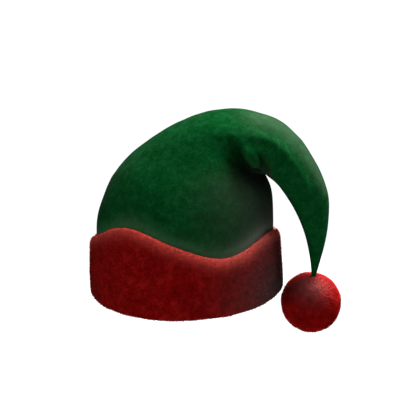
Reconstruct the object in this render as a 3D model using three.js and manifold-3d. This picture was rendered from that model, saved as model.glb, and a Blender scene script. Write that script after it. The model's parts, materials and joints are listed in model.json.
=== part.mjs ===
// A felt elf hat: a green crown that runs on into a peak, folded over to one side, a thick red
// cuff with a wavy top edge, and a red pompom on the tip of the peak.
//
// Millimetres, +Z up. The origin is the centre of the head opening, in the plane of the lower rim.
// The peak falls towards +X, and the front of the hat faces -Y.

import * as THREE from "three";
import { mergeVertices } from "three/addons/utils/BufferGeometryUtils.js";
import Module from "manifold-3d";

// Driving dimensions
const HEAD_GIRTH = 570; // round the inside of the rim
const FIT_GAP = 0.3; // between pieces that are sewn together
const FELT_WALL = 2; // the crown's felt
const CROWN_HEIGHT = 193; // lower rim to the highest point
const PEAK_OVERHANG = 58; // how far the peak reaches past the crown's side
const PEAK_DROP = 174; // highest point down to the neck at the pompom
const NECK_RADIUS = 2.6; // where the peak enters the pompom
const NECK_LEAN = 5; // degrees from plumb, at the neck
const NECK_SEAT = 8; // length of the peak's tip inside the pompom
const HEM_WALL = 2; // the cuff's turned-under hem, inside the crown
const HEM_HEIGHT = 20;
const CUFF_FOLD = 4; // thickness of the cuff below the crown's lower edge
const CUFF_HEIGHT = 90; // lower rim to the highest wave of the cuff
const CUFF_PADDING = 6.8; // thickness of the cuff's outer leaf
const CUFF_FLARE = 2.5; // the cuff's lower edge stands out this much more than its upper one
const CUFF_EDGE_ROUND = 13; // height of the rounding over the upper edge
const CUFF_EDGE_SET = 1.8; // the highest line of that edge stands this far out of its inner side
const CUFF_FOOT_ROUND = 4; // radius of the rounding along the lower edge
const POMPOM_DIAMETER = 65;
const POMPOM_PILE = 4; // how far the tufts stand out of the pompom's core
const TUFT_RADIUS = 6.2;
const TUFT_TIP = 0.62; // a tuft's tip, as a share of its root
const TUFT_COUNT = 84;

// How finely the curved surfaces are cut
const RING_POINTS = 40;
const SECTION_STEPS = 2;
const ROUND_STEPS = 4;
const TUFT_SIDES = 5;

const headRadius = HEAD_GIRTH / (2 * Math.PI);
const hemRadius = headRadius + HEM_WALL;
const crownRadius = hemRadius + FIT_GAP + FELT_WALL;
const crownBase = CUFF_FOLD + FIT_GAP;

// The crown's sections from the lower edge up to the fold. Each section is an oval between a point on
// the outer side, away from the peak's fall, and a point on the inner side, below the fold.
// x and depth are shares of the crown's radius, and z is a share of the crown's height. swell is how
// much wider the oval is towards its inner side, as a share of its depth.
const CROWN_SECTIONS = [
  { outerX: -1.0, outerZ: 0.2, innerX: 1.0, innerZ: 0.2, depth: 1.0, swell: 0 },
  { outerX: -0.99, outerZ: 0.38, innerX: 1.0, innerZ: 0.4, depth: 1.0, swell: 0 },
  { outerX: -0.94, outerZ: 0.48, innerX: 0.995, innerZ: 0.49, depth: 0.975, swell: 0 },
  { outerX: -0.84, outerZ: 0.59, innerX: 0.985, innerZ: 0.545, depth: 0.92, swell: 0 },
  { outerX: -0.71, outerZ: 0.695, innerX: 0.965, innerZ: 0.58, depth: 0.85, swell: 0 },
  { outerX: -0.5, outerZ: 0.785, innerX: 0.945, innerZ: 0.602, depth: 0.77, swell: 0 },
  { outerX: -0.25, outerZ: 0.87, innerX: 0.925, innerZ: 0.619, depth: 0.68, swell: -0.05 },
  { outerX: 0.03, outerZ: 0.94, innerX: 0.905, innerZ: 0.634, depth: 0.59, swell: -0.15 },
  { outerX: 0.34, outerZ: 0.985, innerX: 0.885, innerZ: 0.65, depth: 0.48, swell: -0.3 },
];

// The peak's sections from the fold down to the neck, in the same form. x is a share of the overhang,
// counted outwards from the crown's side, z is a share of the drop, counted down from the highest
// point, and depth is a share of the crown's radius.
const PEAK_SECTIONS = [
  { outerX: -0.68, outerZ: 0.005, innerX: -0.1, innerZ: 0.385, depth: 0.49, swell: 0.04 },
  { outerX: -0.35, outerZ: 0.023, innerX: -0.02, innerZ: 0.41, depth: 0.46, swell: 0.02 },
  { outerX: 0.03, outerZ: 0.06, innerX: 0.06, innerZ: 0.435, depth: 0.42, swell: 0 },
  { outerX: 0.4, outerZ: 0.155, innerX: 0.17, innerZ: 0.485, depth: 0.34, swell: 0 },
  { outerX: 0.76, outerZ: 0.32, innerX: 0.36, innerZ: 0.585, depth: 0.25, swell: 0 },
  { outerX: 1.0, outerZ: 0.54, innerX: 0.56, innerZ: 0.74, depth: 0.17, swell: 0 },
  { outerX: 0.97, outerZ: 0.75, innerX: 0.66, innerZ: 0.89, depth: 0.1, swell: 0 },
];
const NECK_REACH = 0.74; // the neck's place, as a share of the overhang

// The cuff's wavy upper edge. Azimuth is in degrees from the front towards the peak's side, and
// height is a share of the cuff's height.
const CUFF_WAVES = [
  { azimuth: -84, height: 0.62 },
  { azimuth: -51, height: 0.8 },
  { azimuth: -20, height: 1.0 },
  { azimuth: 9, height: 0.81 },
  { azimuth: 37, height: 0.64 },
  { azimuth: 72, height: 0.79 },
  { azimuth: 115, height: 0.64 },
  { azimuth: 155, height: 0.84 },
  { azimuth: 198, height: 0.66 },
  { azimuth: 236, height: 0.8 },
];

const felt = new THREE.MeshStandardMaterial({ color: 0x0c4a1e, roughness: 0.95, metalness: 0 });
const plush = new THREE.MeshStandardMaterial({ color: 0x7c1010, roughness: 0.95, metalness: 0 });
const yarn = new THREE.MeshStandardMaterial({ color: 0x8c1212, roughness: 0.95, metalness: 0 });

const wasm = await Module();
wasm.setup();

const neck = new THREE.Vector3(
  crownRadius + NECK_REACH * PEAK_OVERHANG,
  0,
  CROWN_HEIGHT - PEAK_DROP,
);
const neckLean = THREE.MathUtils.degToRad(NECK_LEAN);
const neckAxis = new THREE.Vector3(-Math.sin(neckLean), 0, -Math.cos(neckLean));
const pompomCentre = neck.clone().addScaledVector(neckAxis, POMPOM_DIAMETER / 2);

// A round section of the neck, square to its axis, a given way along it.
function neckSection(along) {
  const centre = neck.clone().addScaledVector(neckAxis, along);
  const [acrossX, acrossZ] = [Math.cos(neckLean) * NECK_RADIUS, Math.sin(neckLean) * NECK_RADIUS];
  return {
    outerX: centre.x + acrossX,
    outerZ: centre.z - acrossZ,
    innerX: centre.x - acrossX,
    innerZ: centre.z + acrossZ,
    depth: NECK_RADIUS,
    swell: 0,
  };
}

// All sections from the lower edge to the peak's tip, in millimetres.
function allSections() {
  const atCrown = (x) => x * crownRadius;
  const atPeak = (x) => crownRadius + x * PEAK_OVERHANG;
  const up = (z) => z * CROWN_HEIGHT;
  const down = (z) => CROWN_HEIGHT - z * PEAK_DROP;
  const sized = (row, toX, toZ) => ({
    outerX: toX(row.outerX),
    outerZ: toZ(row.outerZ),
    innerX: toX(row.innerX),
    innerZ: toZ(row.innerZ),
    depth: row.depth * crownRadius,
    swell: row.swell,
  });
  return [
    { ...sized(CROWN_SECTIONS[0], atCrown, up), outerZ: crownBase, innerZ: crownBase },
    ...CROWN_SECTIONS.map((row) => sized(row, atCrown, up)),
    ...PEAK_SECTIONS.map((row) => sized(row, atPeak, down)),
    neckSection(0),
    neckSection(NECK_SEAT),
  ];
}

// A value part of the way from one row to the next, on a smooth curve that never passes the rows.
function between(values, at) {
  const k = Math.min(Math.floor(at), values.length - 2);
  const share = at - k;
  const step = (n) => (values[n + 1] ?? values[n]) - (values[n] ?? values[n + 1]);
  const slope = (n) => {
    const [before, after] = [step(n - 1), step(n)];
    return before * after > 0 ? (2 * before * after) / (before + after) : 0;
  };
  const ease = share * share * (3 - 2 * share);
  return (
    values[k] +
    step(k) * ease +
    slope(k) * share * (1 - share) ** 2 -
    slope(k + 1) * share ** 2 * (1 - share)
  );
}

// Sections between the given ones, on smooth curves through them.
function smoothSections(rows, steps) {
  const columns = Object.keys(rows[0]);
  const count = (rows.length - 1) * steps;
  return Array.from({ length: count + 1 }, (_, i) =>
    Object.fromEntries(
      columns.map((column) => [column, between(rows.map((row) => row[column]), i / steps)]),
    ),
  );
}

// The ring of points round a section, from its inner side over the back.
function ringOf({ outerX, outerZ, innerX, innerZ, depth, swell }) {
  return Array.from({ length: RING_POINTS }, (_, i) => {
    const turn = (2 * Math.PI * i) / RING_POINTS;
    const share = (1 - Math.cos(turn)) / 2;
    return new THREE.Vector3(
      THREE.MathUtils.lerp(innerX, outerX, share),
      depth * Math.sin(turn) * (1 + swell * Math.cos(turn)),
      THREE.MathUtils.lerp(innerZ, outerZ, share),
    );
  });
}

// The same rings moved inwards by a wall thickness, square to the surface.
function insetRings(rings, wall) {
  const last = rings.length - 1;
  return rings.map((ring, k) =>
    ring.map((point, i) => {
      const along = rings[Math.min(k + 1, last)][i].clone().sub(rings[Math.max(k - 1, 0)][i]);
      const next = ring[(i + 1) % RING_POINTS];
      const round = next.clone().sub(ring[(i + RING_POINTS - 1) % RING_POINTS]);
      const outwards = round.cross(along).normalize();
      return point.clone().addScaledVector(outwards, -wall);
    }),
  );
}

function middle(ring) {
  const sum = ring.reduce((total, point) => total.add(point), new THREE.Vector3());
  return sum.divideScalar(ring.length);
}

// A closed surface through rings of points. Each end is closed onto the middle of its ring, unless
// the rings go round and meet.
function loft(rings, meet = false) {
  const size = rings[0].length;
  const points = rings.flat();
  const faces = [];
  const spans = meet ? rings.length : rings.length - 1;
  for (let k = 0; k < spans; k++) {
    const here = k * size;
    const there = ((k + 1) % rings.length) * size;
    for (let i = 0; i < size; i++) {
      const j = (i + 1) % size;
      faces.push(here + i, here + j, there + j, here + i, there + j, there + i);
    }
  }
  if (!meet) {
    const first = points.push(middle(rings[0])) - 1;
    const final = points.push(middle(rings.at(-1))) - 1;
    const top = (rings.length - 1) * size;
    for (let i = 0; i < size; i++) {
      const j = (i + 1) % size;
      faces.push(first, j, i, final, top + i, top + j);
    }
  }
  return new THREE.BufferGeometry().setFromPoints(points).setIndex(faces);
}

// The felt crown and peak: one wall from the lower edge to the neck, hollow until the peak gets
// too thin to hold a hollow.
function crownGeometry() {
  const sections = smoothSections(allSections(), SECTION_STEPS);
  const outside = sections.map(ringOf);
  const hollow = sections.filter(({ depth }) => depth > 3 * FELT_WALL).length;
  const inside = insetRings(outside, FELT_WALL).slice(0, hollow);
  return loft([...inside.reverse(), ...outside]);
}

// The height of the cuff's upper edge at an azimuth in degrees.
function waveHeight(azimuth) {
  const [first] = CUFF_WAVES;
  const turned = (((azimuth - first.azimuth) % 360) + 360) % 360;
  const rounds = [-360, 0, 360].flatMap((turn) =>
    CUFF_WAVES.map((row) => ({ ...row, azimuth: row.azimuth + turn })),
  );
  const at = first.azimuth + turned;
  const k = rounds.findLastIndex((row) => row.azimuth <= at);
  const share = (at - rounds[k].azimuth) / (rounds[k + 1].azimuth - rounds[k].azimuth);
  const heights = rounds.map((row) => row.height);
  return CUFF_HEIGHT * between(heights, k + share);
}

// Points on part of an ellipse about a centre, between two angles in degrees.
function arc(centreR, centreZ, radiusR, radiusZ, from, to, steps = ROUND_STEPS) {
  return Array.from({ length: steps + 1 }, (_, i) => {
    const turn = THREE.MathUtils.degToRad(from + ((to - from) * i) / steps);
    return [centreR + radiusR * Math.cos(turn), centreZ + radiusZ * Math.sin(turn)];
  });
}

// The cuff's section at one height of its wave: the hem inside the crown, the fold under the
// crown's lower edge and the padded leaf outside it, with a slot that holds the crown's edge.
function cuffProfile(height) {
  const slotRadius = crownRadius + FIT_GAP;
  const leafRadius = slotRadius + CUFF_PADDING;
  const footRadius = leafRadius + CUFF_FLARE;
  const hemRound = HEM_WALL / 2;
  const footRound = CUFF_FOOT_ROUND;
  const edgeRadius = slotRadius + CUFF_EDGE_SET;
  const edgeBase = height - CUFF_EDGE_ROUND;
  return [
    [hemRadius, CUFF_FOLD],
    [slotRadius, CUFF_FOLD],
    [slotRadius, edgeBase * 0.5],
    ...arc(edgeRadius, edgeBase, CUFF_EDGE_SET, CUFF_EDGE_ROUND, 180, 90, ROUND_STEPS / 2),
    ...arc(edgeRadius, edgeBase, CUFF_PADDING - CUFF_EDGE_SET, CUFF_EDGE_ROUND, 90, 0).slice(1),
    [leafRadius + CUFF_FLARE * 0.6, edgeBase * 0.5],
    ...arc(footRadius - footRound, footRound, footRound, footRound, 360, 270),
    ...arc(headRadius + CUFF_FOLD, CUFF_FOLD, CUFF_FOLD, CUFF_FOLD, 270, 180),
    ...arc(hemRadius - hemRound, HEM_HEIGHT - hemRound, hemRound, hemRound, 180, 0),
  ];
}

function cuffGeometry() {
  const rings = Array.from({ length: RING_POINTS }, (_, i) => {
    const turn = (2 * Math.PI * i) / RING_POINTS;
    const azimuth = THREE.MathUtils.radToDeg(turn);
    return cuffProfile(waveHeight(azimuth)).map(
      ([r, z]) => new THREE.Vector3(r * Math.sin(turn), -r * Math.cos(turn), z),
    );
  });
  return loft(rings, true);
}

function solidOf(geometry) {
  const bare = new THREE.BufferGeometry()
    .setAttribute("position", geometry.getAttribute("position"))
    .setIndex(geometry.index);
  const merged = mergeVertices(bare, 1e-4);
  return new wasm.Manifold(
    new wasm.Mesh({
      numProp: 3,
      vertProperties: merged.attributes.position.array,
      triVerts: new Uint32Array(merged.index.array),
    }),
  );
}

function geometryOf(solid) {
  const mesh = solid.getMesh();
  return new THREE.BufferGeometry()
    .setAttribute("position", new THREE.BufferAttribute(mesh.vertProperties, 3))
    .setIndex(new THREE.BufferAttribute(mesh.triVerts, 1));
}

// Directions spread evenly over a ball.
function ballDirections(count) {
  const golden = Math.PI * (3 - Math.sqrt(5));
  return Array.from({ length: count }, (_, i) => {
    const z = 1 - (2 * i + 1) / count;
    const flat = Math.sqrt(1 - z * z);
    return new THREE.Vector3(flat * Math.cos(golden * i), flat * Math.sin(golden * i), z);
  });
}

// The pompom: tufts of pile fused to a round core, with a seat for the tip of the peak.
function pompomGeometry() {
  const radius = POMPOM_DIAMETER / 2;
  const coreRadius = radius - POMPOM_PILE;
  const up = new THREE.Vector3(0, 1, 0);
  let ball = solidOf(new THREE.IcosahedronGeometry(coreRadius, 3));
  const tuftLength = 2 * POMPOM_PILE;
  for (const direction of ballDirections(TUFT_COUNT)) {
    const tuft = new THREE.CylinderGeometry(TUFT_TIP * TUFT_RADIUS, TUFT_RADIUS, tuftLength, TUFT_SIDES);
    tuft.applyQuaternion(new THREE.Quaternion().setFromUnitVectors(up, direction));
    const middleOut = radius - tuftLength / 2;
    tuft.translate(...direction.clone().multiplyScalar(middleOut).toArray());
    ball = ball.add(solidOf(tuft));
  }
  const seatLength = NECK_SEAT + FIT_GAP + POMPOM_PILE;
  const seat = new THREE.CylinderGeometry(
    NECK_RADIUS + FIT_GAP,
    NECK_RADIUS + FIT_GAP,
    seatLength,
    RING_POINTS / 2,
  );
  const outOfBall = neckAxis.clone().negate();
  seat.applyQuaternion(new THREE.Quaternion().setFromUnitVectors(up, outOfBall));
  const seatMiddle = radius - NECK_SEAT - FIT_GAP + seatLength / 2;
  seat.translate(...outOfBall.clone().multiplyScalar(seatMiddle).toArray());
  return geometryOf(ball.subtract(solidOf(seat)));
}

function named(name, geometry, material) {
  const mesh = new THREE.Mesh(geometry, material);
  mesh.name = name;
  return mesh;
}

const hat = new THREE.Group();
const pompom = named("pompom", pompomGeometry(), yarn);
pompom.position.copy(pompomCentre);
hat.add(named("crown", crownGeometry(), felt), named("cuff", cuffGeometry(), plush), pompom);

export default hat;
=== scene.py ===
# Looks for the felt elf hat: the green crown with its folded peak, the red plush cuff and the
# pompom. All lengths are in metres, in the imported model's frame, where nothing else is said.

import json
import math

import bpy
from mathutils import Matrix, Vector

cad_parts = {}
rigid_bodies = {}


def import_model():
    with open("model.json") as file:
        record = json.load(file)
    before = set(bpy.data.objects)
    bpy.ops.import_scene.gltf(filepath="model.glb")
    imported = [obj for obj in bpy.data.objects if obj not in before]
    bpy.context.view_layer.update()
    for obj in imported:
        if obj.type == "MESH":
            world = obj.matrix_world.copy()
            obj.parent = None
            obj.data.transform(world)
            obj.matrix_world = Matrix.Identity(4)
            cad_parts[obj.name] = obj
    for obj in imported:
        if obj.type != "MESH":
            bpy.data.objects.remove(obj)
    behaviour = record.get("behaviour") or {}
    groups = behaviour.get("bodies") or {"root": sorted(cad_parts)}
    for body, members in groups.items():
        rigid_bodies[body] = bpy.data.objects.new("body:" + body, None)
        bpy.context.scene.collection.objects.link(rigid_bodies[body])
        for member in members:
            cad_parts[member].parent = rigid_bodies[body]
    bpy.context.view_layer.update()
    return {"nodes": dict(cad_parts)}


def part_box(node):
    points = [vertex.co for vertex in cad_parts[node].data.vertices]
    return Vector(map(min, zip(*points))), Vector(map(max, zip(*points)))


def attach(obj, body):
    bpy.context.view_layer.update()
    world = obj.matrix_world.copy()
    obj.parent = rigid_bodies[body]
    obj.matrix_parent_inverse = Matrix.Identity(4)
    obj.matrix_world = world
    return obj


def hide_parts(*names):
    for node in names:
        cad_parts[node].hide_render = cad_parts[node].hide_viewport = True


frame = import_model()
scene = bpy.context.scene

MM = 0.001

# ---------------------------------------------------------------- camera

VIEW_TURN = math.radians(12)  # from the front towards the peak's side
VIEW_DIP = math.radians(14.5)  # downwards
VIEW_ROLL = math.radians(1.5)
FRAME_PIXELS = 420
FOCAL_PIXELS = 700
RIM_CENTRE_PIXEL = (187.0, 284.0)  # where the frame's origin lies in the picture
RIM_DEPTH = 0.769  # from the camera to the frame's origin, along the view
SENSOR = 36  # width in millimetres


def add_camera():
    bpy.ops.object.camera_add()
    camera = bpy.context.object
    camera.name = "photo_camera"
    camera.data.sensor_width = SENSOR
    camera.data.lens = SENSOR * FOCAL_PIXELS / FRAME_PIXELS
    camera.data.clip_start = 0.05
    turn, dip = VIEW_TURN, VIEW_DIP
    forward = Vector(
        (-math.sin(turn) * math.cos(dip), math.cos(turn) * math.cos(dip), -math.sin(dip))
    )
    level_right = Vector((math.cos(turn), math.sin(turn), 0))
    level_up = level_right.cross(forward)
    right = level_right * math.cos(VIEW_ROLL) - level_up * math.sin(VIEW_ROLL)
    up = level_right * math.sin(VIEW_ROLL) + level_up * math.cos(VIEW_ROLL)
    across = (RIM_CENTRE_PIXEL[0] - FRAME_PIXELS / 2) / FOCAL_PIXELS * RIM_DEPTH
    above = -(RIM_CENTRE_PIXEL[1] - FRAME_PIXELS / 2) / FOCAL_PIXELS * RIM_DEPTH
    place = -(across * right + above * up + RIM_DEPTH * forward)
    turned = Matrix((right, up, -forward)).transposed().to_4x4()
    camera.matrix_world = Matrix.Translation(place) @ turned
    scene.camera = camera
    return forward, right


FORWARD, RIGHT = add_camera()

# ---------------------------------------------------------------- small helpers for node trees


def new_material(name):
    material = bpy.data.materials.new(name)
    material.use_nodes = True
    nodes, links = material.node_tree.nodes, material.node_tree.links
    return material, nodes, links, nodes["Principled BSDF"]


def noise_node(nodes, links, scale, detail, rough):
    noise = nodes.new("ShaderNodeTexNoise")
    noise.inputs["Scale"].default_value = scale
    noise.inputs["Detail"].default_value = detail
    noise.inputs["Roughness"].default_value = rough
    links.new(nodes.new("ShaderNodeTexCoord").outputs["Object"], noise.inputs["Vector"])
    return noise.outputs["Fac"]


def ramp_node(nodes, links, factor, stops):
    ramp = nodes.new("ShaderNodeValToRGB")
    while len(ramp.color_ramp.elements) < len(stops):
        ramp.color_ramp.elements.new(0.5)
    for element, (place, colour) in zip(ramp.color_ramp.elements, stops):
        element.position = place
        element.color = (*colour, 1)
    links.new(factor, ramp.inputs["Fac"])
    return ramp.outputs["Color"]


def grey_ramp(nodes, links, factor, spread):
    """Greys from 1 - spread to 1 + spread, to multiply a colour by."""
    stops = ((0.3, (1 - spread,) * 3), (0.7, (1 + spread,) * 3))
    return ramp_node(nodes, links, factor, stops)


def mix_node(nodes, links, blend, factor, first, second):
    mix = nodes.new("ShaderNodeMix")
    mix.data_type = "RGBA"
    mix.blend_type = blend
    if isinstance(factor, float):
        mix.inputs["Factor"].default_value = factor
    else:
        links.new(factor, mix.inputs["Factor"])
    for value, socket in ((first, mix.inputs["A"]), (second, mix.inputs["B"])):
        if isinstance(value, tuple):
            socket.default_value = (*value, 1)
        else:
            links.new(value, socket)
    return mix.outputs["Result"]


def bump_node(nodes, links, height, strength, distance):
    bump = nodes.new("ShaderNodeBump")
    bump.inputs["Strength"].default_value = strength
    bump.inputs["Distance"].default_value = distance
    links.new(height, bump.inputs["Height"])
    return bump


# Cells to the metre in the cloth's noises: broad clouds, the nap's blotches and its fine speckle.
CLOUD_SCALE = 45
BLOTCH_SCALE = 150
SPECKLE_SCALE = 620
CLOUD_SPREAD = 0.16
SPECKLE_SPREAD = 0.25


def cloth_material(name, deep, body, lit, sheen_tint, sheen, painted_light_and_shade):
    """Napped cloth: soft blotches, fine speckle and a matted bump. The last argument lists the
    places where light and shade are painted on the piece, each with how its colour goes on there."""
    material, nodes, links, shader = new_material(name)
    cloud = noise_node(nodes, links, CLOUD_SCALE, 3.0, 0.6)
    blotch = noise_node(nodes, links, BLOTCH_SCALE, 4.0, 0.65)
    speckle = noise_node(nodes, links, SPECKLE_SCALE, 3.0, 0.7)
    colour = ramp_node(nodes, links, blotch, ((0.34, deep), (0.5, body), (0.66, lit)))
    for noise, spread in ((cloud, CLOUD_SPREAD), (speckle, SPECKLE_SPREAD)):
        greys = grey_ramp(nodes, links, noise, spread)
        colour = mix_node(nodes, links, "MULTIPLY", 1.0, colour, greys)
    for place, blend, tint in painted_light_and_shade:
        painted = nodes.new("ShaderNodeAttribute")
        painted.attribute_name = place
        colour = mix_node(nodes, links, blend, painted.outputs["Fac"], colour, tint)
    links.new(colour, shader.inputs["Base Color"])
    shader.inputs["Roughness"].default_value = 1.0
    shader.inputs["Specular IOR Level"].default_value = 0.0
    shader.inputs["Sheen Weight"].default_value = sheen
    shader.inputs["Sheen Roughness"].default_value = 0.4
    shader.inputs["Sheen Tint"].default_value = (*sheen_tint, 1)
    coarse = bump_node(nodes, links, blotch, 0.45, 1.2 * MM)
    fine = bump_node(nodes, links, speckle, 0.5, 0.5 * MM)
    links.new(coarse.outputs["Normal"], fine.inputs["Normal"])
    links.new(fine.outputs["Normal"], shader.inputs["Normal"])
    return material


green_felt = cloth_material(
    "green_felt",
    (0.0006, 0.0385, 0.007),
    (0.0016, 0.05, 0.0102),
    (0.0042, 0.064, 0.0148),
    (0.75, 1.0, 0.8),
    0.02,
    # Painted shade under the peak and in the creases, painted light above the cuff and on the
    # crest, and a painted glow.
    (
        ("painted_shade", "MIX", (0.023, 0.024, 0.021)),
        ("painted_light", "ADD", (0.13, 0.122, 0.11)),
        ("painted_glow", "ADD", (0.02, 0.055, 0.026)),
        ("fold_shade", "MULTIPLY", (0.1, 0.07, 0.09)),
    ),
)
red_plush = cloth_material(
    "red_plush",
    (0.17, 0.0012, 0.0014),
    (0.22, 0.0026, 0.0028),
    (0.285, 0.008, 0.0065),
    (1.0, 0.75, 0.7),
    0.03,
    # Painted shade under the peak and a painted highlight along the edge.
    (("painted_shade", "MIX", (0.055, 0.035, 0.035)), ("painted_light", "ADD", (0.5, 0.09, 0.07))),
)
red_yarn = cloth_material(
    "red_yarn",
    (0.32, 0.0012, 0.0014),
    (0.44, 0.003, 0.0033),
    (0.6, 0.014, 0.012),
    (1.0, 0.75, 0.7),
    0.03,
    # Painted shade towards the cuff and a painted highlight near the top.
    (("painted_shade", "MULTIPLY", (0.15, 0.06, 0.06)), ("painted_light", "ADD", (0.2, 0.16, 0.15))),
)

# ---------------------------------------------------------------- shaping helpers


def pick(piece):
    bpy.ops.object.select_all(action="DESELECT")
    piece.select_set(True)
    bpy.context.view_layer.objects.active = piece


def soft_copy(node_name, name):
    """The CAD solid's own surface, welded and turned to quads."""
    piece = bpy.data.objects.new(name, frame["nodes"][node_name].data.copy())
    scene.collection.objects.link(piece)
    pick(piece)
    bpy.ops.object.mode_set(mode="EDIT")
    bpy.ops.mesh.select_all(action="SELECT")
    bpy.ops.mesh.remove_doubles(threshold=0.02 * MM)
    bpy.ops.mesh.tris_convert_to_quads(
        face_threshold=math.radians(60), shape_threshold=math.radians(60)
    )
    bpy.ops.object.mode_set(mode="OBJECT")
    return piece


def rounded(piece, levels):
    pick(piece)
    rounding = piece.modifiers.new("rounding", "SUBSURF")
    rounding.levels = rounding.render_levels = levels
    bpy.ops.object.modifier_apply(modifier=rounding.name)
    bpy.ops.object.shade_smooth()


def keep_outer_skin(piece, rim_height):
    """Takes the flat rim off a hollow shell, and then its inner skin, so that the outer one
    is left."""
    pick(piece)
    mesh = piece.data
    bpy.ops.object.mode_set(mode="EDIT")
    bpy.ops.mesh.select_mode(type="FACE")
    bpy.ops.mesh.select_all(action="DESELECT")
    bpy.ops.object.mode_set(mode="OBJECT")
    on_rim = {v.index for v in mesh.vertices if abs(v.co.z - rim_height) < 0.1 * MM}
    for face in mesh.polygons:
        face.select = all(index in on_rim for index in face.vertices)
    bpy.ops.object.mode_set(mode="EDIT")
    bpy.ops.mesh.delete(type="FACE")
    bpy.ops.mesh.select_mode(type="VERT")
    bpy.ops.mesh.select_all(action="DESELECT")
    bpy.ops.object.mode_set(mode="OBJECT")
    outermost = max(mesh.vertices, key=lambda v: v.co.x)
    outermost.select = True
    bpy.ops.object.mode_set(mode="EDIT")
    bpy.ops.mesh.select_linked(delimit=set())
    bpy.ops.mesh.select_all(action="INVERT")
    bpy.ops.mesh.delete(type="VERT")
    bpy.ops.object.mode_set(mode="OBJECT")


def beside_line(point, line, widths):
    """How near a point lies to a line on the felt: 1 on the line, falling off over the widths
    at its two ends. Lines are in millimetres, and count on the hat's front and back alike."""
    spot = Vector((point.x, -abs(point.y), point.z)) / MM
    best = 0
    runs = len(line) - 1
    for number in range(runs):
        start, run = Vector(line[number]), Vector(line[number + 1]) - Vector(line[number])
        share = min(max((spot - start).dot(run) / run.length_squared, 0), 1)
        along = (number + share) / runs
        width = widths[0] + (widths[1] - widths[0]) * along
        best = max(best, math.exp(-(((spot - start - run * share).length / width) ** 2)))
    return best


def press(piece, name, weight_at, depth):
    """Moves the surface out along its normals, or in where depth is negative, where the
    weight says."""
    group = piece.vertex_groups.new(name=name)
    for vertex in piece.data.vertices:
        weight = weight_at(vertex.co)
        if weight > 0.01:
            group.add([vertex.index], min(weight, 1), "REPLACE")
    pick(piece)
    push = piece.modifiers.new(name, "DISPLACE")
    push.vertex_group = group.name
    push.strength = depth
    push.mid_level = 0.0
    bpy.ops.object.modifier_apply(modifier=push.name)


def paint(piece, name, value_at, points=None):
    """A value for each point of the mesh, which the material reads. Past the first so many
    points it is 0."""
    vertices = piece.data.vertices
    values = [min(max(value_at(v.co), 0), 1) for v in vertices[:points]]
    attribute = piece.data.attributes.new(name, "FLOAT", "POINT")
    attribute.data.foreach_set("value", values + [0.0] * (len(vertices) - len(values)))


def ruffle(piece, where, size, depth):
    """Uneven cloth: moves the surface in and out, by a smooth texture, where the group says."""
    group = piece.vertex_groups.new(name="loose_cloth")
    for vertex in piece.data.vertices:
        weight = where(vertex.co)
        if weight > 0:
            group.add([vertex.index], weight, "REPLACE")
    cloud = bpy.data.textures.new(piece.name + "_ruffle", "CLOUDS")
    cloud.noise_scale = size
    cloud.noise_depth = 1
    pick(piece)
    waves = piece.modifiers.new("waves", "DISPLACE")
    waves.texture = cloud
    waves.texture_coords = "LOCAL"
    waves.vertex_group = group.name
    waves.strength = depth
    waves.mid_level = 0.5
    bpy.ops.object.modifier_apply(modifier=waves.name)


def fibre_mesh(length, width, bend):
    """One fibre: a thin closed three-sided blade that leans over towards its tip."""
    bpy.ops.object.select_all(action="DESELECT")
    bpy.ops.mesh.primitive_cone_add(
        vertices=3, radius1=width / 2, radius2=0, depth=length, end_fill_type="NGON"
    )
    fibre = bpy.context.object
    fibre.name = "fibre"
    bpy.ops.object.mode_set(mode="EDIT")
    bpy.ops.mesh.select_all(action="SELECT")
    bpy.ops.transform.translate(value=(0, 0, length * 0.42))  # its foot goes a little way in
    bpy.ops.mesh.select_all(action="DESELECT")
    bpy.ops.object.mode_set(mode="OBJECT")
    for vertex in fibre.data.vertices:
        vertex.select = vertex.co.z > length * 0.5
    bpy.ops.object.mode_set(mode="EDIT")
    bpy.ops.transform.translate(value=(bend, 0, 0))
    bpy.ops.object.mode_set(mode="OBJECT")
    return fibre


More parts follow.
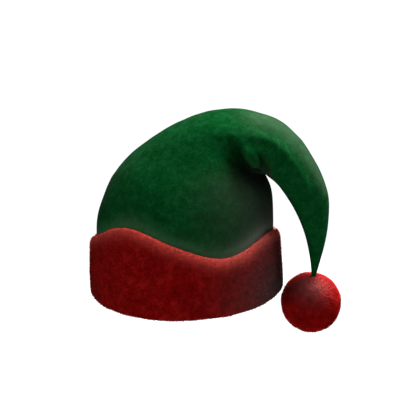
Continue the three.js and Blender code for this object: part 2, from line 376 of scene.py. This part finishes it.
def grow_pile(name, ground, fibre, count_per_m2, lean, seed, keep=None):
    """Short pile: copies of one fibre all over a surface, made real, in a mesh of their own."""
    tree = bpy.data.node_groups.new(name + "_pile", "GeometryNodeTree")
    tree.interface.new_socket("Geometry", in_out="INPUT", socket_type="NodeSocketGeometry")
    tree.interface.new_socket("Geometry", in_out="OUTPUT", socket_type="NodeSocketGeometry")
    nodes, links = tree.nodes, tree.links
    entry = nodes.new("NodeGroupInput")
    way_out = nodes.new("NodeGroupOutput")
    scatter = nodes.new("GeometryNodeDistributePointsOnFaces")
    scatter.inputs["Density"].default_value = count_per_m2
    scatter.inputs["Seed"].default_value = seed
    links.new(entry.outputs[0], scatter.inputs["Mesh"])
    if keep is not None:
        links.new(keep(nodes, links), scatter.inputs["Selection"])
    source = nodes.new("GeometryNodeObjectInfo")
    source.inputs["Object"].default_value = fibre
    tilt = nodes.new("FunctionNodeRandomValue")
    tilt.data_type = "FLOAT_VECTOR"
    tilt.inputs["Min"].default_value = (-lean, -lean, -math.pi)
    tilt.inputs["Max"].default_value = (lean, lean, math.pi)
    tilt.inputs["Seed"].default_value = seed + 1
    as_turn = nodes.new("FunctionNodeEulerToRotation")
    links.new(tilt.outputs["Value"], as_turn.inputs[0])
    turned = nodes.new("FunctionNodeRotateRotation")
    turned.rotation_space = "LOCAL"
    links.new(scatter.outputs["Rotation"], turned.inputs[0])
    links.new(as_turn.outputs[0], turned.inputs[1])
    size = nodes.new("FunctionNodeRandomValue")
    size.inputs["Seed"].default_value = seed + 2
    size.inputs[2].default_value = 0.7
    size.inputs[3].default_value = 1.15
    plant = nodes.new("GeometryNodeInstanceOnPoints")
    links.new(scatter.outputs["Points"], plant.inputs["Points"])
    links.new(source.outputs["Geometry"], plant.inputs["Instance"])
    links.new(turned.outputs[0], plant.inputs["Rotation"])
    links.new(size.outputs[1], plant.inputs["Scale"])
    real = nodes.new("GeometryNodeRealizeInstances")
    links.new(plant.outputs[0], real.inputs[0])
    links.new(real.outputs[0], way_out.inputs[0])
    pile = bpy.data.objects.new(name, ground.data.copy())
    scene.collection.objects.link(pile)
    pick(pile)
    growth = pile.modifiers.new("growth", "NODES")
    growth.node_group = tree
    bpy.ops.object.modifier_apply(modifier=growth.name)
    bpy.ops.object.shade_smooth()
    return pile


def dress(piece, material):
    piece.data.materials.clear()
    piece.data.materials.append(material)
    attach(piece, "root")


# ---------------------------------------------------------------- crown and peak

CROWN_RADIUS = 95.0 * MM  # outside, in the cuff
CROWN_BASE = 4.3 * MM  # height of the lower edge
CUFF_TOP = 92.0 * MM  # above the highest wave of the cuff's edge
CLOTH_RISE = 20 * MM  # the unevenness comes in over this height above the cuff
FELT_WALL = 1.9 * MM

# Lines on the felt in millimetres, on the front half. The back has the same.
FOLD_CREASE = (
    (59.5, -45.8, 167),
    (61.5, -46.5, 163),
    (63.5, -46, 158.5),
    (66, -43.5, 152.5),
    (69.5, -39, 146.5),
    (74, -33, 140),
    (80, -28, 134),
)
SHORT_CREASE = ((87, -43.5, 152), (89.5, -41, 144), (91, -37, 136))
FOLD_LOBE = ((75.5, -45.8, 155), (78.5, -44.5, 150), (82.5, -41.5, 144))
PEAK_RIDGE = (
    (82, -39, 169),
    (96, -35.4, 165.5),
    (108, -32, 155),
    (117, -29, 143),
    (127, -25, 124),
    (136, -19, 98),
)
# Along the top of the peak, where a highlight is painted.
PEAK_CREST = (
    (86, -14, 184),
    (99, -13, 179),
    (110, -12, 171),
    (121, -11, 161),
    (131, -10, 147),
    (139, -9, 131),
    (146, -6, 112),
)
SHADED_SHOULDER = (
    (61, -47.5, 147),
    (64, -45.5, 143.5),
    (69, -43, 139),
    (78, -33, 131),
    (88, -10, 120),
)

EDGE_STEPS = 40  # places round the hat at which the cuff's edge is measured
PEAK_SIDE = 90  # degrees round the hat, where the peak hangs
PEAK_MIDDLE = 12  # degrees to each side of it that the peak covers wholly
PEAK_SPREAD = 68


def azimuth(point):
    """Degrees round the hat, from the front towards the peak's side."""
    return math.degrees(math.atan2(point.x, -point.y)) % 360


edge_heights = [0.0] * EDGE_STEPS
for vertex in frame["nodes"]["cuff"].data.vertices:
    step = round(azimuth(vertex.co) / 360 * EDGE_STEPS) % EDGE_STEPS
    edge_heights[step] = max(edge_heights[step], vertex.co.z)


def cuff_edge(point):
    """Height of the cuff's wavy edge at a point's place round the hat."""
    turn = azimuth(point) / 360 * EDGE_STEPS
    step = int(turn)
    share = turn - step
    this, following = edge_heights[step % EDGE_STEPS], edge_heights[(step + 1) % EDGE_STEPS]
    return this * (1 - share) + following * share


def fade(distance, reach):
    return math.exp(-((distance / reach) ** 2))


def ease(value, low, high):
    share = min(max((value - low) / (high - low), 0), 1)
    return share * share * (3 - 2 * share)


def under_peak(point, spread=PEAK_SPREAD):
    """The sector round the hat that the hanging peak covers, where shade and light are painted: 1
    in its middle, 0 at the spread in degrees."""
    return 1 - ease(abs(azimuth(point) - PEAK_SIDE), PEAK_MIDDLE, spread)


def above_cuff(point):
    return min(max((point.z - CUFF_TOP) / CLOTH_RISE, 0), 1)


# Painted shade: the crown darkened and greyed in the sector under the peak, below the fold.
def crown_painted_shade(point):
    below_fold = 1 - ease(point.z, 120 * MM, 155 * MM)
    beside_peak = 1 - ease(point.x, 96 * MM, 100 * MM)
    return 0.8 * under_peak(point, 92) * below_fold * beside_peak


def edge_glow(point, reach):
    """1 on the crown at the cuff's edge, fading over the reach in millimetres above it. The
    peak beside the crown has none."""
    if math.hypot(point.x, point.y) > CROWN_RADIUS + 2 * MM:
        return 0
    return fade(max(point.z - cuff_edge(point), 0) / MM, reach)


# Painted light: a green glow on the crown just above the cuff's edge, away from the peak.
def crown_painted_glow(point):
    return (1 - under_peak(point)) * (0.55 * edge_glow(point, 9) + 0.4 * edge_glow(point, 4))


# Painted light: a pale band on the crown just above the cuff's edge, wider and stronger under the
# peak, and a painted highlight along the peak's crest.
def crown_painted_light(point):
    covered = under_peak(point)
    wide = (0.08 + 0.34 * covered) * edge_glow(point, 10 + 5 * covered)
    narrow = 0.5 * covered * edge_glow(point, 6)
    return max(wide + narrow, 0.2 * beside_line(point, PEAK_CREST, (19.0, 7.0)))


def crown_fold_shade(point):
    return max(
        beside_line(point, FOLD_CREASE, (2.2, 10.0)),
        0.8 * beside_line(point, SHORT_CREASE, (2.5, 5.0)),
        0.7 * beside_line(point, SHADED_SHOULDER, (5.0, 12.0)),
    )


# The felt's pressed lines: how wide each is at its two ends in millimetres, and how far it is
# pressed out, or in where that is negative.
PRESSED_LINES = (
    ("fold_crease", FOLD_CREASE, (2.8, 5.5), -4.6 * MM),
    ("short_crease", SHORT_CREASE, (2.5, 3.5), -3.5 * MM),
    ("fold_lobe", FOLD_LOBE, (4.5, 6.5), 3.6 * MM),
    ("peak_ridge", PEAK_RIDGE, (6.0, 4.5), 2.3 * MM),
)
# Painted shade in the creases and under the peak, painted light just above the cuff and along the
# crest.
CROWN_PAINT = (
    ("fold_shade", crown_fold_shade),
    ("painted_shade", crown_painted_shade),
    ("painted_light", crown_painted_light),
    ("painted_glow", crown_painted_glow),
)

felt_crown = soft_copy("crown", "felt_crown")
keep_outer_skin(felt_crown, CROWN_BASE)
rounded(felt_crown, 2)
for line_name, line, widths, depth in PRESSED_LINES:
    press(felt_crown, line_name, lambda point: beside_line(point, line, widths), depth)
ruffle(felt_crown, above_cuff, 22 * MM, 1.6 * MM)
outer_points = len(felt_crown.data.vertices)  # the plain inner side comes after them
wall = felt_crown.modifiers.new("wall", "SOLIDIFY")
wall.thickness = FELT_WALL
wall.offset = -1
pick(felt_crown)
bpy.ops.object.modifier_apply(modifier=wall.name)
bpy.ops.object.shade_smooth()
for paint_name, value_at in CROWN_PAINT:
    paint(felt_crown, paint_name, value_at, outer_points)
dress(felt_crown, green_felt)
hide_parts("crown")

# ---------------------------------------------------------------- cuff

PILE_FROM = 97.5 * MM  # the leaf's outer side and edge lie beyond this radius
FIT_GAP = 0.3 * MM  # round the crown's lower edge
FOLD_BOTTOM = CROWN_BASE - FIT_GAP  # of the fold, which lies between the next two radii
FOLD_INNER = 92.2 * MM
FOLD_OUTER = 95.8 * MM


def outer_leaf(point):
    radius = math.hypot(point.x, point.y)
    return min(max((radius - CROWN_RADIUS - 1.5 * MM) / (4 * MM), 0), 1)


# Painted shade: the cuff darkened and greyed in the sector under the peak, a little less higher
# up.
def cuff_painted_shade(point):
    return (0.95 - 0.35 * ease(point.z, 10 * MM, 60 * MM)) * under_peak(point, 76)


# Painted highlight along the cuff's upper edge, fading downwards, strongest under the peak.
def cuff_painted_light(point):
    return (0.6 + 0.4 * under_peak(point)) * fade(cuff_edge(point) - point.z, 9 * MM)


def keep_fold_square(piece):
    """Creases the two corners at the bottom of the fold that the crown's lower edge stands in."""
    pick(piece)
    bpy.ops.object.mode_set(mode="EDIT")
    bpy.ops.mesh.select_mode(type="EDGE")
    bpy.ops.mesh.select_all(action="DESELECT")
    bpy.ops.object.mode_set(mode="OBJECT")
    points = [v.co for v in piece.data.vertices]
    for edge in piece.data.edges:
        ends = [points[index] for index in edge.vertices]
        radii = [math.hypot(end.x, end.y) for end in ends]
        at_bottom = all(abs(end.z - FOLD_BOTTOM) < 0.1 * MM for end in ends)
        in_fold = min(radii) > FOLD_INNER and max(radii) < FOLD_OUTER
        round_hat = abs(radii[0] - radii[1]) < 0.1 * MM
        edge.select = at_bottom and in_fold and round_hat
    bpy.ops.object.mode_set(mode="EDIT")
    bpy.ops.transform.edge_crease(value=1.0)
    bpy.ops.object.mode_set(mode="OBJECT")


plush_cuff = soft_copy("cuff", "plush_cuff")
keep_fold_square(plush_cuff)
rounded(plush_cuff, 2)
ruffle(plush_cuff, outer_leaf, 26 * MM, 1.6 * MM)
# Painted shade under the peak, and a painted highlight along the cuff's edge.
paint(plush_cuff, "painted_shade", cuff_painted_shade)
paint(plush_cuff, "painted_light", cuff_painted_light)
dress(plush_cuff, red_plush)
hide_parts("cuff")


def on_outer_leaf(nodes, links):
    """Picks what lies farther from the hat's middle than the pile's radius."""
    place = nodes.new("GeometryNodeInputPosition")
    parts = nodes.new("ShaderNodeSeparateXYZ")
    links.new(place.outputs[0], parts.inputs[0])
    flat = nodes.new("ShaderNodeCombineXYZ")
    links.new(parts.outputs["X"], flat.inputs["X"])
    links.new(parts.outputs["Y"], flat.inputs["Y"])
    radius = nodes.new("ShaderNodeVectorMath")
    radius.operation = "LENGTH"
    links.new(flat.outputs[0], radius.inputs[0])
    beyond = nodes.new("FunctionNodeCompare")
    beyond.data_type = "FLOAT"
    beyond.operation = "GREATER_THAN"
    links.new(radius.outputs["Value"], beyond.inputs[0])
    beyond.inputs[1].default_value = PILE_FROM
    return beyond.outputs[0]


PLUSH_PER_M2 = 0.8e6
PLUSH_SEED = 5
plush_fibre = fibre_mesh(1.6 * MM, 0.6 * MM, 0.5 * MM)
cuff_pile = grow_pile(
    "cuff_pile", plush_cuff, plush_fibre, PLUSH_PER_M2, 0.6, PLUSH_SEED, keep=on_outer_leaf
)
dress(cuff_pile, red_plush)
bpy.data.objects.remove(plush_fibre, do_unlink=True)

# ---------------------------------------------------------------- pompom

low, high = (Vector(corner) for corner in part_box("pompom"))
POMPOM_CENTRE = (low + high) / 2
POMPOM_RADIUS = 32.5 * MM
PILE_DEPTH = 4.2 * MM
PEAK_TIP = Vector((138, 0, 13)) * MM  # where the peak is sewn to the ball
SEAT_WIDTH = 4.2 * MM
SEAT_DEPTH = 6.2 * MM

# Places on the ball, from its centre.
LIGHT_PATCH = Vector((0.15, -0.6, 0.78)) * POMPOM_RADIUS  # where its highlight is painted, on the top towards the front
CUFF_SIDE = Vector((-0.69, -0.38, 0.62)) * POMPOM_RADIUS  # the side towards the cuff, where its shade is painted


# Painted highlight on the ball near its top, towards the front.
def pompom_painted_light(point):
    return 0.7 * fade((point - POMPOM_CENTRE - LIGHT_PATCH).length, 16 * MM)


# Painted shade on the side of the ball towards the cuff.
def pompom_painted_shade(point):
    return 0.85 * fade((point - POMPOM_CENTRE - CUFF_SIDE).length, 21 * MM)


def at_peak_tip(point):
    return fade((point - PEAK_TIP).length, SEAT_WIDTH)


bpy.ops.object.select_all(action="DESELECT")
bpy.ops.mesh.primitive_ico_sphere_add(subdivisions=5, radius=POMPOM_RADIUS - PILE_DEPTH)
pompom_ball = bpy.context.object
pompom_ball.name = "pompom_ball"
bpy.ops.object.mode_set(mode="EDIT")
bpy.ops.mesh.select_all(action="SELECT")
bpy.ops.transform.translate(value=POMPOM_CENTRE)
bpy.ops.object.mode_set(mode="OBJECT")
bpy.ops.object.shade_smooth()
ruffle(pompom_ball, lambda point: 1.0, 8 * MM, 1.5 * MM)
press(pompom_ball, "tip_seat", at_peak_tip, -SEAT_DEPTH)
# A painted highlight near the top of the ball, and painted shade on its side towards the cuff.
paint(pompom_ball, "painted_light", pompom_painted_light)
paint(pompom_ball, "painted_shade", pompom_painted_shade)
dress(pompom_ball, red_yarn)
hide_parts("pompom")

YARN_PER_M2 = 4.0e6
YARN_SEED = 11
yarn_fibre = fibre_mesh(PILE_DEPTH * 1.1, 0.75 * MM, 0.6 * MM)
pompom_pile = grow_pile("pompom_pile", pompom_ball, yarn_fibre, YARN_PER_M2, 0.4, YARN_SEED)
dress(pompom_pile, red_yarn)
bpy.data.objects.remove(yarn_fibre, do_unlink=True)

# ---------------------------------------------------------------- floor, world and lights

FLOOR_DROP = 0.45
FLOOR_SIZE = 3.0
LIGHTS_TARGET = Vector((0.02, 0, 0.09))


def glow_strength(nodes, links, socket, on_hat, in_picture):
    """Pale in the picture itself, and faint in the light that it throws on the hat."""
    seen = nodes.new("ShaderNodeLightPath")
    strength = nodes.new("ShaderNodeMapRange")
    strength.inputs["To Min"].default_value = on_hat
    strength.inputs["To Max"].default_value = in_picture
    links.new(seen.outputs["Is Camera Ray"], strength.inputs["Value"])
    links.new(strength.outputs["Result"], socket)


bpy.ops.object.select_all(action="DESELECT")
bpy.ops.mesh.primitive_plane_add(size=FLOOR_SIZE, location=(0, 0, -FLOOR_DROP))
floor = bpy.context.object
floor.name = "studio_floor"
paper, nodes, links, shader = new_material("pale_paper")
shader.inputs["Base Color"].default_value = (0.8, 0.8, 0.8, 1)
shader.inputs["Roughness"].default_value = 0.9
shader.inputs["Specular IOR Level"].default_value = 0.0
shader.inputs["Emission Color"].default_value = (1, 1, 1, 1)
glow_strength(nodes, links, shader.inputs["Emission Strength"], 0.05, 1.0)
floor.data.materials.append(paper)

world = bpy.data.worlds.new("studio")
scene.world = world
world.use_nodes = True
nodes, links = world.node_tree.nodes, world.node_tree.links
background = nodes["Background"]
background.inputs["Color"].default_value = (1, 1, 1, 1)
glow_strength(nodes, links, background.inputs["Strength"], 0.1, 1.05)


def softbox(name, side, height, towards, size, power):
    """An area light, placed as the camera stands: so far to the right, above and towards it."""
    bpy.ops.object.light_add(type="AREA")
    light = bpy.context.object
    light.name = name
    light.data.shape = "DISK"
    light.data.size = size
    light.data.energy = power
    level = Vector((FORWARD.x, FORWARD.y, 0)).normalized()
    place = LIGHTS_TARGET + RIGHT * side + Vector((0, 0, height)) - level * towards
    light.location = place
    light.rotation_euler = (LIGHTS_TARGET - place).to_track_quat("-Z", "Y").to_euler()


softbox("top_softbox", 0.33, 1.0, -0.22, 0.5, 26)
softbox("rim_softbox", 0.85, 0.6, -0.05, 0.4, 5)
softbox("fill_softbox", -0.4, 0.3, 1.0, 0.9, 4.2)

scene.view_settings.view_transform = "Standard"
